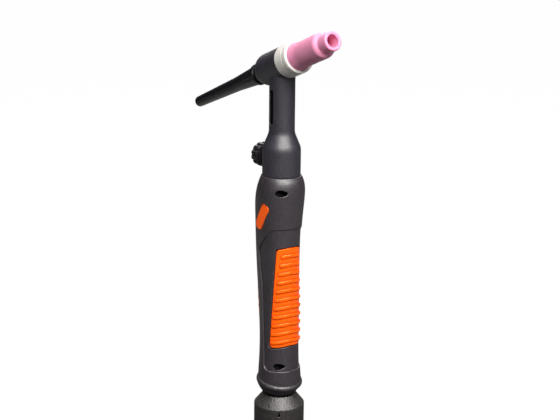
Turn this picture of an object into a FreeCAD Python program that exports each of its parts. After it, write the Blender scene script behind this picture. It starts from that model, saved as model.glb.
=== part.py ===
import FreeCAD, Part
import math
import os

V = FreeCAD.Vector

# The frame's origin is the centre of the cable outlet, +Z runs up the handle
# and +X points to the front, where the nozzle is.

# Clearances
running_gap = 0.05
stop_gap = 0.1

# How fully a slot's ends are rounded; a full 1 would leave no straight end to build on
slot_end_fullness = 0.98

# Cable joint housing
housing_length = 38.0
housing_radius = 17.1
housing_wall = 2.5
cone_height = 7.3
cone_top_radius = 11.2
hub_depth = 20.6
collar_length = 12.0
collar_lead_in = 1.5
cable_bore_radius = 8.0
mark_width = 2.2
mark_height = 4.4
mark_depth = 0.8
mark_drop = 0.2
mark_bearing = 34.0

# Ball joint
ball_end_radius = 15.7
socket_radius = 12.5
socket_mouth_radius = 10.6
cup_gap = 0.9
liner_thickness = 0.8
liner_rise = 5.5
liner_drop = 7.0
ball_rise = 6.0
ball_neck_radius = 7.2
ball_bore_radius = 5.6
ball_neck_depth = 25.2
nut_radius = 9.5
nut_thickness = 4.0
nut_flats = 6

# Handle: each section is named by its drop below the top of the shells
section_fullness = 0.575
shell_rim_step = 0.5
shoulder_drop = 6.0
shoulder_front = 15.6
shoulder_side = 15.2
shoulder_rear = 15.5
collar_drop = 14.0
collar_front = 15.3
collar_side = 15.6
collar_rear = 19.0
palm_drop = 28.0
palm_front = 13.9
palm_side = 14.5
palm_rear = 21.5
grip_drop = 50.0
grip_front = 12.9
grip_side = 13.6
grip_rear = 21.3
waist_drop = 70.0
waist_front = 12.8
waist_side = 13.5
waist_rear = 18.9
low_drop = 92.0
low_front = 12.9
low_side = 13.5
low_rear = 15.4
slim_drop = 114.0
slim_front = 13.1
slim_side = 13.5
slim_rear = 13.4
tail_drop = 131.0
tail_front = 13.6
tail_side = 13.8
tail_rear = 14.2
ball_drop = 140.2
tail_end_radius = 14.4
tail_overrun = 8.0
handle_wall = 2.3
bead_radius = 15.7
bead_thickness = 4.4
bead_drop = 3.3
bead_tilt = 9.5
tail_bore_radius = 7.4

# Recessed grip panel, seen from the side
recess_depth = 0.7
panel_top_drop = 34.0
panel_shoulder_x = 7.5
panel_shoulder_rounding = 8.0
panel_corner_drop = 50.5
panel_corner_x = -7.4
panel_corner_rounding = 4.5
panel_waist_drop = 78.0
panel_waist_x = -1.9
panel_waist_rounding = 30.0
panel_bottom_drop = 133.5
panel_foot_x = 1.2
panel_foot_rounding = 5.0

# Grip pads; the front one is drawn as seen from its bearing to the right of the front, with
# its edges measured from the handle's axis in that view, and its ends and ribs slope up forwards
pad_thickness = 1.6
pad_proud = 0.1
pad_gap = 0.8
pad_edge_rounding = 0.5
front_pad_bearing = 45.0
front_pad_top_drop = 48.3
front_pad_bottom_drop = 116.4
front_pad_top_edge = -0.3
front_pad_bottom_edge = -4.7
front_pad_rounding = 2.4
front_pad_slope = 7.5
rear_pad_middle_drop = 92.5
rear_pad_length = 62.0
rear_pad_width = 22.0
rib_height = 0.9
rib_width = 2.4
rib_rounding = 0.7
rib_pitch = 5.92
front_ribs = 11
front_rib_start = 5.2
front_rib_top_margin = 3.8
front_rib_bottom_margin = 0.4
rear_ribs = 7
rear_rib_margin = 2.0

# Badge inlay on the right shell
badge_length = 20.6
badge_width = 7.2
badge_drop = 26.6
badge_x = -1.1
badge_lean = 31.0
badge_depth = 1.0
badge_proud = 0.3
badge_crown_radius = 60.0
badge_rounding = 0.25

# Shell screws and their inserts
screw_head_gap = 0.15
screw_head_height = 1.6
screw_shank_radius = 1.1
screw_slot_width = 0.6
screw_slot_depth = 0.7
upper_screw_x = 12.7
upper_screw_drop = 9.2
upper_screw_seat = 1.6
upper_screw_hole_radius = 2.3
lower_screw_x = 10.1
lower_screw_drop = 129.8
lower_screw_seat = 1.4
lower_screw_hole_radius = 2.2
insert_radius = 1.7
insert_length = 3.6

# Neck and head cover
neck_radius = 8.5
bulge_radius = 12.7
bulge_height = 18.6
bulge_flare = 10.0
spigot_radius = 10.4
spigot_length = 16.0
flange_radius = 12.2
flange_drop = 12.3
flange_thickness = 2.6
head_rise = 21.4
head_height = 73.4
head_cover_radius = 10.8
head_front = 7.3
head_rear = 21.0
head_rear_radius = 8.8
head_rear_rounding = 9.0
neck_slot_width = 4.0
neck_slot_low = 34.0
neck_slot_high = 57.0
neck_slot_depth = 1.2

# Head core and neck tube
core_radius = 7.6
core_front = 10.5
core_rear = 15.5
core_bore_radius = 4.75
tube_radius = 4.75
tube_bore_radius = 2.5
tube_seat_depth = 4.0

# Collet body and collet
collet_body_thread_start = 6.0
collet_body_flange_radius = 6.0
nozzle_thread_length = 11.5
barrel_radius = 3.0
barrel_end = 44.0
nose_radius = 2.2
nose_length = 2.0
collet_passage_radius = 1.95
nose_bore_radius = 1.35
gas_hole_radius = 0.8
gas_hole_count = 4
gas_hole_place = 30.0
collet_radius = 1.85
electrode_bore_radius = 1.2
collet_rear = 8.0
collet_tip_radius = 1.3
collet_tip_length = 2.5
collet_slit_width = 0.3
collet_slit_length = 14.0

# Cup gasket
gasket_radius = 10.95
gasket_front = 20.2
gasket_lip = 1.4
gasket_web = 1.6
gasket_groove_place = 15.6
gasket_groove_depth = 0.35
gasket_groove_width = 0.7

# Nozzle
nozzle_length = 47.0
nozzle_base_radius = 9.2
nozzle_base_length = 8.6
nozzle_flare_length = 5.5
nozzle_body_radius = 8.45
nozzle_shoulder_place = 36.6
nozzle_shoulder_length = 2.0
nozzle_shoulder_rounding = 3.2
nozzle_tip_radius = 6.3
nozzle_lip_rounding = 1.1
nozzle_bore_radius = 4.0
nozzle_thread_depth = 12.5
nozzle_taper_length = 9.0

# Back cap
cap_neck_radius = 6.3
cap_groove_radius = 5.3
cap_ring_place = 18.3
cap_groove_width = 1.8
cap_ring_thickness = 1.5
cap_collar_start = 26.8
cap_collar_length = 3.2
cap_collar_radius = 7.3
cap_root_radius = 6.4
cap_flare_end = 58.0
cap_flare_end_radius = 4.8
cap_end = 113.6
cap_end_radius = 3.75
cap_end_rounding = 3.2
cap_bore_radius = 1.9
cap_bore_wall = 8.0
flute_count = 10
flute_radius = 1.5
flute_depth = 0.55
flute_start = 33.5
flute_end = 84.0

# Gas valve
valve_height = 9.8
valve_body_radius = 9.0
valve_body_rise = 17.5
valve_body_drop = 14.0
gas_bore_radius = 2.2
valve_chamber_radius = 2.6
valve_chamber_start = 1.5
bushing_radius = 4.2
bushing_start = 7.0
bushing_end = 16.8
stem_radius = 2.0
stem_start = 2.2
needle_radius = 0.6
needle_length = 1.4
stem_groove_radius = 1.45
stem_groove_start = 3.2
stem_groove_width = 1.3
stem_ring_thickness = 1.0
knob_start = 18.4
knob_thickness = 6.7
knob_radius = 8.1
knob_lobes = 12
knob_groove_radius = 1.25
knob_groove_depth = 1.0
knob_rounding = 1.1
knob_screw_head_radius = 2.3
knob_screw_head_height = 1.4
knob_screw_shank_radius = 0.9
knob_screw_length = 5.0
knob_face_recess = 1.9

# Cable connector inside the handle
union_hex_width = 12.0
union_hex_length = 7.0
union_thread_radius = 4.8
union_thread_length = 10.0
union_tail_radius = 3.6
union_tail_length = 12.0
union_bore_radius = 2.2

# Heights that follow from the sizes above
cup_radius = ball_end_radius + cup_gap
cup_depth = math.sqrt(cup_radius ** 2 - cone_top_radius ** 2)
ball_height = housing_length + cone_height + cup_depth
shell_top = ball_height + ball_drop
crossing_height = shell_top + head_height
nozzle_start = core_front + gasket_web + stop_gap
nozzle_end = nozzle_start + nozzle_length
far = 400.0


def rounded_corner(before, corner, after, radius):
    """Start, middle and end of the arc that rounds one corner."""
    back = before - corner
    ahead = after - corner
    half = back.getAngle(ahead) / 2
    reach = min(radius / math.tan(half), 0.45 * back.Length, 0.45 * ahead.Length)
    arc_radius = reach * math.tan(half)
    back.normalize()
    ahead.normalize()
    inward = back + ahead
    inward.normalize()
    middle = corner + inward * (arc_radius / math.sin(half) - arc_radius)
    return corner + back * reach, middle, corner + ahead * reach


def outline(corners):
    """Face in the XZ plane; a corner is (x, z) or (x, z, rounding)."""
    points = [V(corner[0], 0, corner[1]) for corner in corners]
    stops = []
    for i, corner in enumerate(corners):
        if len(corner) == 3:
            after = points[(i + 1) % len(points)]
            stops.append(rounded_corner(points[i - 1], points[i], after, corner[2]))
        else:
            stops.append((points[i], None, points[i]))
    edges = []
    for i, (start, middle, end) in enumerate(stops):
        if middle is not None:
            edges.append(Part.Arc(start, middle, end).toShape())
        edges.append(Part.makeLine(end, stops[(i + 1) % len(stops)][0]))
    return Part.Face(Part.Wire(edges))


def turned(corners):
    """Solid turned about the Z axis from corners (radius, height)."""
    return outline(corners).revolve(V(), V(0, 0, 1), 360)


def side_prism(corners):
    """Prism through the whole part, drawn in the side view."""
    return outline(corners).extrude(V(0, far, 0)).translated(V(0, -far / 2, 0))


def outward_prism(corners, bearing, slope=0.0, height=0.0):
    """Prism from the Z axis outward, drawn as seen from a bearing to the right of the front."""
    face = outline(corners).rotated(V(), V(0, 1, 0), -slope).translated(V(0, 0, height))
    return face.extrude(V(0, -far, 0)).rotated(V(), V(0, 0, 1), 90 - bearing)


def rod(radius, low, high):
    """Cylinder about the Z axis between two heights."""
    return Part.makeCylinder(radius, high - low, V(0, 0, low))


def ball(radius, height=0.0):
    """Sphere on the Z axis."""
    return Part.makeSphere(radius, V(0, 0, height))


def slab(low, high):
    """Everything between two heights."""
    return Part.makeBox(far, far, high - low, V(-far / 2, -far / 2, low))


def ring(middle_radius, thickness, height):
    """Round-section ring about the Z axis."""
    return Part.makeTorus(middle_radius, thickness / 2, V(0, 0, height))


def nut_prism(width, low, high, sides):
    """Prism with flats about the Z axis; width is across the flats."""
    radius = width / 2 / math.cos(math.pi / sides)
    points = []
    for i in range(sides + 1):
        angle = 2 * math.pi * i / sides
        points.append(V(radius * math.cos(angle), radius * math.sin(angle), low))
    return Part.Face(Part.makePolygon(points)).extrude(V(0, 0, high - low))


def slot_corners(left, right, low, high):
    """Corners of a slot with round ends."""
    rounding = slot_end_fullness * min(right - left, high - low) / 2
    return [
        (left, low, rounding),
        (right, low, rounding),
        (right, high, rounding),
        (left, high, rounding),
    ]


def softened(shape, outward, radius):
    """Rounds the rim of the face that looks outward, except on the parting plane."""
    def facing(face):
        low_u, high_u, low_v, high_v = face.ParameterRange
        return face.normalAt((low_u + high_u) / 2, (low_v + high_v) / 2).dot(outward)

    crown = max(shape.Faces, key=facing)
    rim = [edge for edge in crown.Edges if edge.BoundBox.YMin < -running_gap]
    return shape.makeFillet(radius, rim)


def on_head(shape):
    """Places a shape built along Z on the axis of the head."""
    leaned = shape.rotated(V(), V(0, 1, 0), 90 - head_rise)
    return leaned.translated(V(0, 0, crossing_height))


def on_valve(shape):
    """Places a shape built along Z on the axis of the gas valve, which faces the rear."""
    leaned = shape.rotated(V(), V(0, 1, 0), -90)
    return leaned.translated(V(0, 0, shell_top + valve_height))


def across(shape, x, drop):
    """Places a shape built along Z on an axis across the handle, with Z towards the right."""
    leaned = shape.rotated(V(), V(1, 0, 0), 90)
    return leaned.translated(V(x, 0, shell_top - drop))


def mirrored(shape):
    """The same shape on the other side of the parting plane."""
    return shape.mirror(V(), V(0, 1, 0))


def joined(first, *others):
    """One solid from several that meet."""
    result = first
    for other in others:
        result = result.fuse(other)
    return result.removeSplitter()


def quarter(start, end):
    """Curve of a quarter section between two of its extremes."""
    corner = start + end
    near_start = start + (corner - start) * section_fullness
    near_end = end + (corner - end) * section_fullness
    curve = Part.BezierCurve()
    curve.setPoles([start, near_start, near_end, end])
    return curve.toShape()


def half_section(drop, front, side, rear):
    """Wire of the right half of one handle section."""
    front_quarter = quarter(V(front, 0, 0), V(0, -side, 0))
    rear_quarter = quarter(V(0, -side, 0), V(-rear, 0, 0))
    chord = Part.makeLine(V(-rear, 0, 0), V(front, 0, 0))
    wire = Part.Wire([front_quarter, rear_quarter, chord])
    return wire.translated(V(0, 0, shell_top - drop))


def handle_half(inset):
    """Right half of the handle's form, drawn in from its surface by the inset."""
    rim = bulge_radius + shell_rim_step
    end = tail_end_radius
    sections = (
        (0.0, rim, rim, rim),
        (shoulder_drop, shoulder_front, shoulder_side, shoulder_rear),
        (collar_drop, collar_front, collar_side, collar_rear),
        (palm_drop, palm_front, palm_side, palm_rear),
        (grip_drop, grip_front, grip_side, grip_rear),
        (waist_drop, waist_front, waist_side, waist_rear),
        (low_drop, low_front, low_side, low_rear),
        (slim_drop, slim_front, slim_side, slim_rear),
        (tail_drop, tail_front, tail_side, tail_rear),
        (ball_drop, end, end, end),
        (ball_drop + tail_overrun, end, end, end),
    )
    wires = []
    for drop, front, side, rear in sections:
        wires.append(half_section(drop, front - inset, side - inset, rear - inset))
    return Part.makeLoft(wires, True, False)


def right_side():
    """Everything to the right of the parting plane."""
    return Part.makeBox(far, far, far, V(-far / 2, -far, 0))


def below_bead():
    """Everything below the leaning plane of the bead."""
    block = Part.makeBox(far, far, far, V(-far / 2, -far / 2, -far))
    leaned = block.rotated(V(), V(0, 1, 0), bead_tilt)
    return leaned.translated(V(0, 0, ball_height - bead_drop))


def bead():
    """Rounded rim between the handle and its ball end."""
    middle_radius = bead_radius - bead_thickness / 2
    leaned = ring(middle_radius, bead_thickness, 0).rotated(V(), V(0, 1, 0), bead_tilt)
    return leaned.translated(V(0, 0, ball_height - bead_drop))


def panel_window():
    """Prism over the recessed grip panel."""
    top = shell_top - panel_top_drop
    corner = shell_top - panel_corner_drop
    waist = shell_top - panel_waist_drop
    bottom = shell_top - panel_bottom_drop
    return side_prism([
        (far / 4, top),
        (panel_shoulder_x, top, panel_shoulder_rounding),
        (panel_corner_x, corner, panel_corner_rounding),
        (panel_waist_x, waist, panel_waist_rounding),
        (panel_foot_x, bottom, panel_foot_rounding),
        (far / 4, bottom),
    ])


def front_pad_window(margin):
    """Prism over the right half of the front pad, drawn in by the margin."""
    top = shell_top - front_pad_top_drop - margin
    bottom = shell_top - front_pad_bottom_drop + margin
    top_left = front_pad_top_edge + margin
    bottom_left = front_pad_bottom_edge + margin
    rise = math.tan(math.radians(front_pad_slope))
    corners = [
        (far / 4, bottom + rise * far / 4),
        (far / 4, top + rise * far / 4),
        (top_left, top + rise * top_left, front_pad_rounding),
        (bottom_left, bottom + rise * bottom_left, front_pad_rounding),
    ]
    return outward_prism(corners, front_pad_bearing).common(right_side())


def rear_pad_window(margin):
    """Oval prism over the rear pad, drawn in by the margin."""
    middle = shell_top - rear_pad_middle_drop
    tall = Part.Ellipse(V(0, 0, 0), rear_pad_length / 2 - margin, rear_pad_width / 2 - margin)
    face = Part.Face(Part.Wire(tall.toShape()))
    leaned = face.rotated(V(), V(0, 1, 0), 90)
    return leaned.extrude(V(-far, 0, 0)).translated(V(0, 0, middle))


def front_rib_prisms():
    """Sloping slots that the front ribs are cut from; their ends follow the pad's edge."""
    prisms = []
    pad_height = front_pad_bottom_drop - front_pad_top_drop
    spare = front_rib_top_margin - front_rib_bottom_margin
    for i in range(front_ribs):
        offset = front_rib_start + i * rib_pitch
        share = offset / pad_height
        edge = front_pad_top_edge + (front_pad_bottom_edge - front_pad_top_edge) * share
        end = edge + front_rib_bottom_margin + spare * (1 - share) ** 2
        corners = slot_corners(end, far / 4, -rib_width / 2, rib_width / 2)
        height = shell_top - front_pad_top_drop - offset
        prism = outward_prism(corners, front_pad_bearing, front_pad_slope, height)
        prisms.append(prism.common(right_side()))
    return prisms


def rear_rib_prisms():
    """Level slots that the rear ribs are cut from; their ends follow the oval."""
    prisms = []
    for i in range(rear_ribs):
        offset = (i - (rear_ribs - 1) / 2) * rib_pitch
        share = math.sqrt(1 - (2 * offset / rear_pad_length) ** 2)
        half = share * rear_pad_width / 2 - rear_rib_margin
        low = shell_top - rear_pad_middle_drop + offset - rib_width / 2
        corners = slot_corners(-half, half, low, low + rib_width)
        prisms.append(outward_prism(corners, 180).common(right_side()))
    return prisms


def pad(window, rib_prisms, surface_inset, outward):
    """Right half of a ribbed grip pad that lies in a pocket of the shell."""
    surface = surface_inset - pad_proud
    inside = handle_half(surface_inset + pad_thickness)
    base = handle_half(surface).common(window).cut(inside)
    base = softened(base, outward, pad_edge_rounding)
    rib_tops = handle_half(surface - rib_height)
    ribs = []
    for prism in rib_prisms:
        rib = rib_tops.common(prism).cut(inside)
        ribs.append(softened(rib.Solids[0], outward, rib_rounding))
    return joined(base, *ribs)


def front_pad():
    """Right half of the front pad."""
    return pad(front_pad_window(0), front_rib_prisms(), recess_depth, V(1, 0, 0))


def rear_pad():
    """Right half of the rear pad."""
    return pad(rear_pad_window(0), rear_rib_prisms(), 0.0, V(-1, 0, 0))


def pad_pockets():
    """What the shell leaves free for its two half pads."""
    front = front_pad_window(-pad_gap).cut(handle_half(recess_depth + pad_thickness))
    rear = rear_pad_window(-pad_gap).cut(handle_half(pad_thickness))
    return [front, rear]


def shell_outside():
    """Outer form of the right shell, with its panel, bead and ball end."""
    window = panel_window()
    raised = handle_half(0.0).cut(window)
    recessed = handle_half(recess_depth).common(window)
    grip = joined(raised, recessed).cut(below_bead())
    tail = ball(ball_end_radius, ball_height).common(below_bead())
    tail = tail.fuse(bead()).common(right_side())
    return joined(grip, tail)


def shell_inside():
    """Spaces inside the handle, from the neck's seat down to the ball's socket."""
    cavity_top = shell_top - spigot_length
    cavity_bottom = shell_top - slim_drop - handle_wall
    flange_top = shell_top - flange_drop
    return [
        handle_half(recess_depth + pad_thickness + handle_wall).common(slab(cavity_bottom, cavity_top)),
        rod(spigot_radius, cavity_top, shell_top + 1),
        rod(flange_radius, flange_top - flange_thickness, flange_top),
        rod(tail_bore_radius, ball_height, cavity_bottom + 1),
        ball(socket_radius, ball_height),
        rod(socket_mouth_radius, ball_height - 2 * ball_end_radius, ball_height),
    ]


def screw_places():
    """Place across the handle, seat depth and hole radius of each shell screw."""
    return (
        (upper_screw_x, upper_screw_drop, upper_screw_seat, upper_screw_hole_radius),
        (lower_screw_x, lower_screw_drop, lower_screw_seat, lower_screw_hole_radius),
    )


def screw_holes_right():
    """Head recesses and shank holes in the right shell."""
    holes = []
    for x, drop, seat, hole_radius in screw_places():
        holes.append(across(rod(hole_radius, seat, far / 2), x, drop))
        holes.append(across(rod(screw_shank_radius, -1, seat + 1), x, drop))
    return holes


def screw_holes_left():
    """Pockets for the threaded inserts in the left shell."""
    holes = []
    for x, drop, _, _ in screw_places():
        holes.append(across(rod(insert_radius, -insert_length, 1), x, drop))
    return holes


def badge_prism():
    """Capsule through the right shell at the badge's place."""
    half = badge_length / 2
    width = badge_width / 2
    prism = side_prism(slot_corners(-width, width, -half, half))
    leaned = prism.rotated(V(), V(0, 1, 0), badge_lean)
    placed = leaned.translated(V(badge_x, 0, shell_top - badge_drop))
    return placed.common(right_side())


def badge():
    """Plain capsule inlay with a slightly crowned face, proud of the shell."""
    crown = rod(badge_crown_radius, 0, far)
    face = palm_side + badge_proud
    crown.translate(V(badge_x, badge_crown_radius - face, 0))
    inlay = badge_prism().common(crown).cut(handle_half(badge_depth))
    return softened(inlay, V(0, -1, 0), badge_rounding)


def handle_shell_right():
    """Shell with the screw heads and the badge."""
    badge_pocket = badge_prism().cut(handle_half(badge_depth))
    cuts = pad_pockets() + shell_inside() + screw_holes_right() + [badge_pocket]
    return shell_outside().cut(cuts)


def handle_shell_left():
    """Shell with the threaded inserts."""
    shell = mirrored(shell_outside().cut(pad_pockets() + shell_inside()))
    return shell.cut(screw_holes_left())


def shell_screws():
    """The two slotted screws that hold the shells together."""
    screws = []
    for x, drop, seat, hole_radius in screw_places():
        head = rod(hole_radius - screw_head_gap, seat, seat + screw_head_height)
        shank = rod(screw_shank_radius, -insert_length, seat)
        slot_low = seat + screw_head_height - screw_slot_depth
        slot = slab(slot_low, slot_low + 1).common(
            Part.makeBox(far, screw_slot_width, far, V(-far / 2, -screw_slot_width / 2, 0)))
        screws.append(across(head.fuse(shank).cut(slot), x, drop))
    return Part.makeCompound(screws)


def shell_inserts():
    """The two threaded inserts in the left shell."""
    inserts = []
    for x, drop, _, _ in screw_places():
        sleeve = rod(insert_radius, -insert_length, 0).cut(
            rod(screw_shank_radius, -insert_length - 1, 1))
        inserts.append(across(sleeve, x, drop))
    return Part.makeCompound(inserts)


def bulge_flare_edge():
    """Turned form of the bulge with its smooth flare into the neck."""
    top = bulge_height + bulge_flare
    return turned([
        (0, 0),
        (bulge_radius, 0, 0.8),
        (bulge_radius, bulge_height, bulge_flare),
        (neck_radius, top, bulge_flare),
        (neck_radius, head_height),
        (0, head_height),
    ])


def neck_slots():
    """Shallow slots on both sides of the neck."""
    width = neck_slot_width / 2
    slot = side_prism(slot_corners(-width, width, neck_slot_low, neck_slot_high))
    core = Part.makeBox(far, 2 * (neck_radius - neck_slot_depth), far,
                        V(-far / 2, neck_slot_depth - neck_radius, -far / 2))
    return slot.cut(core)


def head_cover_form():
    """Turned form of the head cover, along the head's axis."""
    return turned([
        (0, head_front),
        (head_cover_radius, head_front, 0.6),
        (head_cover_radius, -head_rear + head_rear_rounding / 2, head_rear_rounding),
        (head_rear_radius, -head_rear, 0.8),
        (0, -head_rear),
    ])


def inner_metal():
    """Outer forms of the metal parts that the cover is moulded round."""
    mouth_radius = cap_neck_radius + 0.7
    return [
        on_head(rod(core_radius, -core_rear, core_front)),
        on_head(rod(mouth_radius, -head_rear - 1, -core_rear)),
        rod(tube_radius, shell_top, crossing_height),
        rod(valve_body_radius, shell_top - valve_body_drop, shell_top + valve_body_rise),
        on_valve(rod(bushing_radius, 0, far / 4)),
        rod(valve_body_radius, shell_top - far / 4, shell_top - valve_body_drop + 1),
    ]


def neck_cover():
    """Rubber cover of the head, the neck and the valve bulge in one piece."""
    neck = bulge_flare_edge()
    spigot = rod(spigot_radius, -spigot_length, 0)
    flange = rod(flange_radius, -flange_drop - flange_thickness, -flange_drop)
    lower = joined(neck, spigot, flange).cut(neck_slots()).translated(V(0, 0, shell_top))
    return joined(lower, on_head(head_cover_form())).cut(inner_metal())


def head_core():
    """Brass core of the head, bored through for the collet body and the back cap."""
    core = rod(core_radius, -core_rear, core_front).cut(
        rod(core_bore_radius, -core_rear - 1, core_front + 1))
    seat = rod(tube_radius, shell_top, crossing_height - core_radius + tube_seat_depth / 2)
    bore = rod(tube_bore_radius, shell_top, crossing_height)
    return on_head(core).cut([seat, bore])


def neck_tube():
    """Tube that carries gas and current up the neck."""
    bottom = shell_top + valve_body_rise - tube_seat_depth
    top = crossing_height - core_radius + tube_seat_depth / 2
    tube = rod(tube_radius, bottom, top)
    bore = rod(tube_bore_radius, bottom - 1, top + 1)
    return tube.cut([bore, on_head(rod(core_bore_radius, -far / 4, far / 4))])


def valve_body():
    """Brass block with the gas bore and the valve's chamber."""
    block = rod(valve_body_radius, shell_top - valve_body_drop, shell_top + valve_body_rise)
    tube_bottom = shell_top + valve_body_rise - tube_seat_depth
    return block.cut([
        rod(tube_radius, tube_bottom, tube_bottom + far / 4),
        rod(gas_bore_radius, shell_top - valve_body_drop - 1, tube_bottom + 1),
        on_valve(rod(valve_chamber_radius, valve_chamber_start, bushing_start + 1)),
        on_valve(rod(bushing_radius, bushing_start, far / 4)),
    ])


def valve_bushing():
    """Bushing that guides the valve stem out of the bulge."""
    return on_valve(turned([
        (stem_radius + running_gap, bushing_start),
        (bushing_radius, bushing_start),
        (bushing_radius, bushing_end, 0.5),
        (stem_radius + running_gap, bushing_end),
    ]))


def valve_stem():
    """Needle stem that the knob turns."""
    groove_end = stem_groove_start + stem_groove_width
    end = knob_start + knob_thickness - knob_face_recess
    stem = turned([
        (0, stem_start - needle_length),
        (needle_radius, stem_start - needle_length),
        (stem_radius, stem_start),
        (stem_radius, stem_groove_start),
        (stem_groove_radius, stem_groove_start),
        (stem_groove_radius, groove_end),
        (stem_radius, groove_end),
        (stem_radius, end),
        (0, end),
    ])
    return on_valve(stem.cut(rod(knob_screw_shank_radius, end - knob_screw_length, end + 1)))


def valve_stem_o_ring():
    """Seal in the stem's groove."""
    middle_radius = stem_groove_radius + running_gap + stem_ring_thickness / 2
    place = stem_groove_start + stem_groove_width / 2
    return on_valve(ring(middle_radius, stem_ring_thickness, place))


def valve_knob():
    """Knob with rounded lobes round its rim."""
    end = knob_start + knob_thickness
    knob = turned([
        (0, knob_start),
        (knob_radius, knob_start, knob_rounding),
        (knob_radius, end, knob_rounding),
        (0, end),
    ])
    cuts = [
        rod(stem_radius, knob_start - 1, end),
        rod(knob_screw_head_radius, end - knob_face_recess, end + 1),
    ]
    groove_place = knob_radius - knob_groove_depth + knob_groove_radius
    for i in range(knob_lobes):
        groove = Part.makeCylinder(knob_groove_radius, 2 * knob_thickness,
                                   V(groove_place, 0, knob_start - knob_thickness / 2))
        cuts.append(groove.rotated(V(), V(0, 0, 1), 360 * i / knob_lobes))
    return on_valve(knob.cut(cuts))


def knob_screw():
    """Screw that holds the knob on its stem."""
    seat = knob_start + knob_thickness - knob_face_recess
    head = rod(knob_screw_head_radius, seat, seat + knob_screw_head_height)
    shank = rod(knob_screw_shank_radius, seat - knob_screw_length, seat)
    socket = nut_prism(1.3 * knob_screw_shank_radius, seat + 0.4, far, 6)
    return on_valve(head.fuse(shank).cut(socket))


def tail_union():
    """Brass connector for the cable and its hose, below the valve body."""
    top = shell_top - valve_body_drop
    hex_bottom = top - union_hex_length
    thread_bottom = hex_bottom - union_thread_length
    tail_bottom = thread_bottom - union_tail_length
    body = joined(
        nut_prism(union_hex_width, hex_bottom, top, 6),
        rod(union_thread_radius, thread_bottom, hex_bottom),
        rod(union_tail_radius, tail_bottom, thread_bottom),
    )
    return body.cut(rod(union_bore_radius, tail_bottom - 1, top + 1))


def collet_body():
    """Copper collet body, screwed into the head and carrying the nozzle's thread."""
    flange_end = core_front + nozzle_thread_length
    thread_radius = core_bore_radius - running_gap
    body = turned([
        (collet_passage_radius, -collet_body_thread_start),
        (thread_radius, -collet_body_thread_start, 0.5),
        (thread_radius, core_front),
        (collet_body_flange_radius, core_front),
        (collet_body_flange_radius, flange_end, 0.6),
        (barrel_radius, flange_end + 1.0, 0.6),
        (barrel_radius, barrel_end),
        (nose_radius, barrel_end + nose_length),
        (nose_bore_radius, barrel_end + nose_length),
        (collet_passage_radius, barrel_end - nose_length),
    ])
    holes = []
    for i in range(gas_hole_count):
        hole = Part.makeCylinder(gas_hole_radius, 2 * barrel_radius, V(0, 0, gas_hole_place), V(1, 0, 0))
        holes.append(hole.rotated(V(), V(0, 0, 1), 360 * (i + 0.5) / gas_hole_count))
    return on_head(body.cut(holes))


def collet():
    """Slotted collet that grips the electrode."""
    tip_end = barrel_end
    body = turned([
        (electrode_bore_radius, -collet_rear),
        (collet_radius, -collet_rear),
        (collet_radius, tip_end - collet_tip_length),
        (collet_tip_radius, tip_end),
        (electrode_bore_radius, tip_end),
    ])
    slit_place = V(-far / 2, -collet_slit_width / 2, tip_end - collet_slit_length)
    slit = Part.makeBox(far, collet_slit_width, far, slit_place)
    return on_head(body.cut([slit, slit.rotated(V(), V(0, 0, 1), 90)]))


def cup_gasket():
    """White gasket cup between the head and the nozzle."""
    bore = collet_body_flange_radius + running_gap
    seat = nozzle_base_radius + running_gap
    groove_low = gasket_groove_place - gasket_groove_width / 2
    groove_high = gasket_groove_place + gasket_groove_width / 2
    groove_floor = gasket_radius - gasket_groove_depth
    return on_head(turned([
        (core_radius, head_front),
        (gasket_radius, head_front, 0.3),
        (gasket_radius, groove_low),
        (groove_floor, groove_low),
        (groove_floor, groove_high),
        (gasket_radius, groove_high),
        (gasket_radius, gasket_front, gasket_lip),
        (seat, gasket_front, 0.3),
        (seat, core_front + gasket_web),
        (bore, core_front + gasket_web),
        (bore, core_front),
        (core_radius, core_front),
    ]))


def nozzle():
    """Ceramic nozzle with a stepped tip."""
    thread = collet_body_flange_radius + running_gap
    thread_end = nozzle_start + nozzle_thread_depth
    shoulder = nozzle_start + nozzle_shoulder_place
    return on_head(turned([
        (thread, nozzle_start),
        (nozzle_base_radius, nozzle_start, 0.5),
        (nozzle_base_radius, nozzle_start + nozzle_base_length, 2.0),
        (nozzle_body_radius, nozzle_start + nozzle_base_length + nozzle_flare_length, 6.0),
        (nozzle_body_radius, shoulder, nozzle_shoulder_rounding),
        (nozzle_tip_radius, shoulder + nozzle_shoulder_length, 0.3),
        (nozzle_tip_radius, nozzle_end, nozzle_lip_rounding),
        (nozzle_bore_radius, nozzle_end, nozzle_lip_rounding),
        (nozzle_bore_radius, thread_end + nozzle_taper_length),
        (thread, thread_end),
    ]))


def cap_radius(place):
    """Outer radius of the plain back cap at a place behind the collar."""
    return cap_flare_end_radius + (cap_end_radius - cap_flare_end_radius) * (
        (place - cap_flare_end) / (cap_end - cap_flare_end))


def cap_flutes():
    """Long flutes that fade out towards the cap's end."""
    deep = V(cap_root_radius + flute_radius - flute_depth, 0, -flute_start + 1.5)
    shallow = V(cap_radius(flute_end) + flute_radius, 0, -flute_end)
    along = shallow - deep
    flute = Part.makeCylinder(flute_radius, along.Length, deep, along)
    return [flute.rotated(V(), V(0, 0, 1), 360 * i / flute_count) for i in range(flute_count)]


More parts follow.
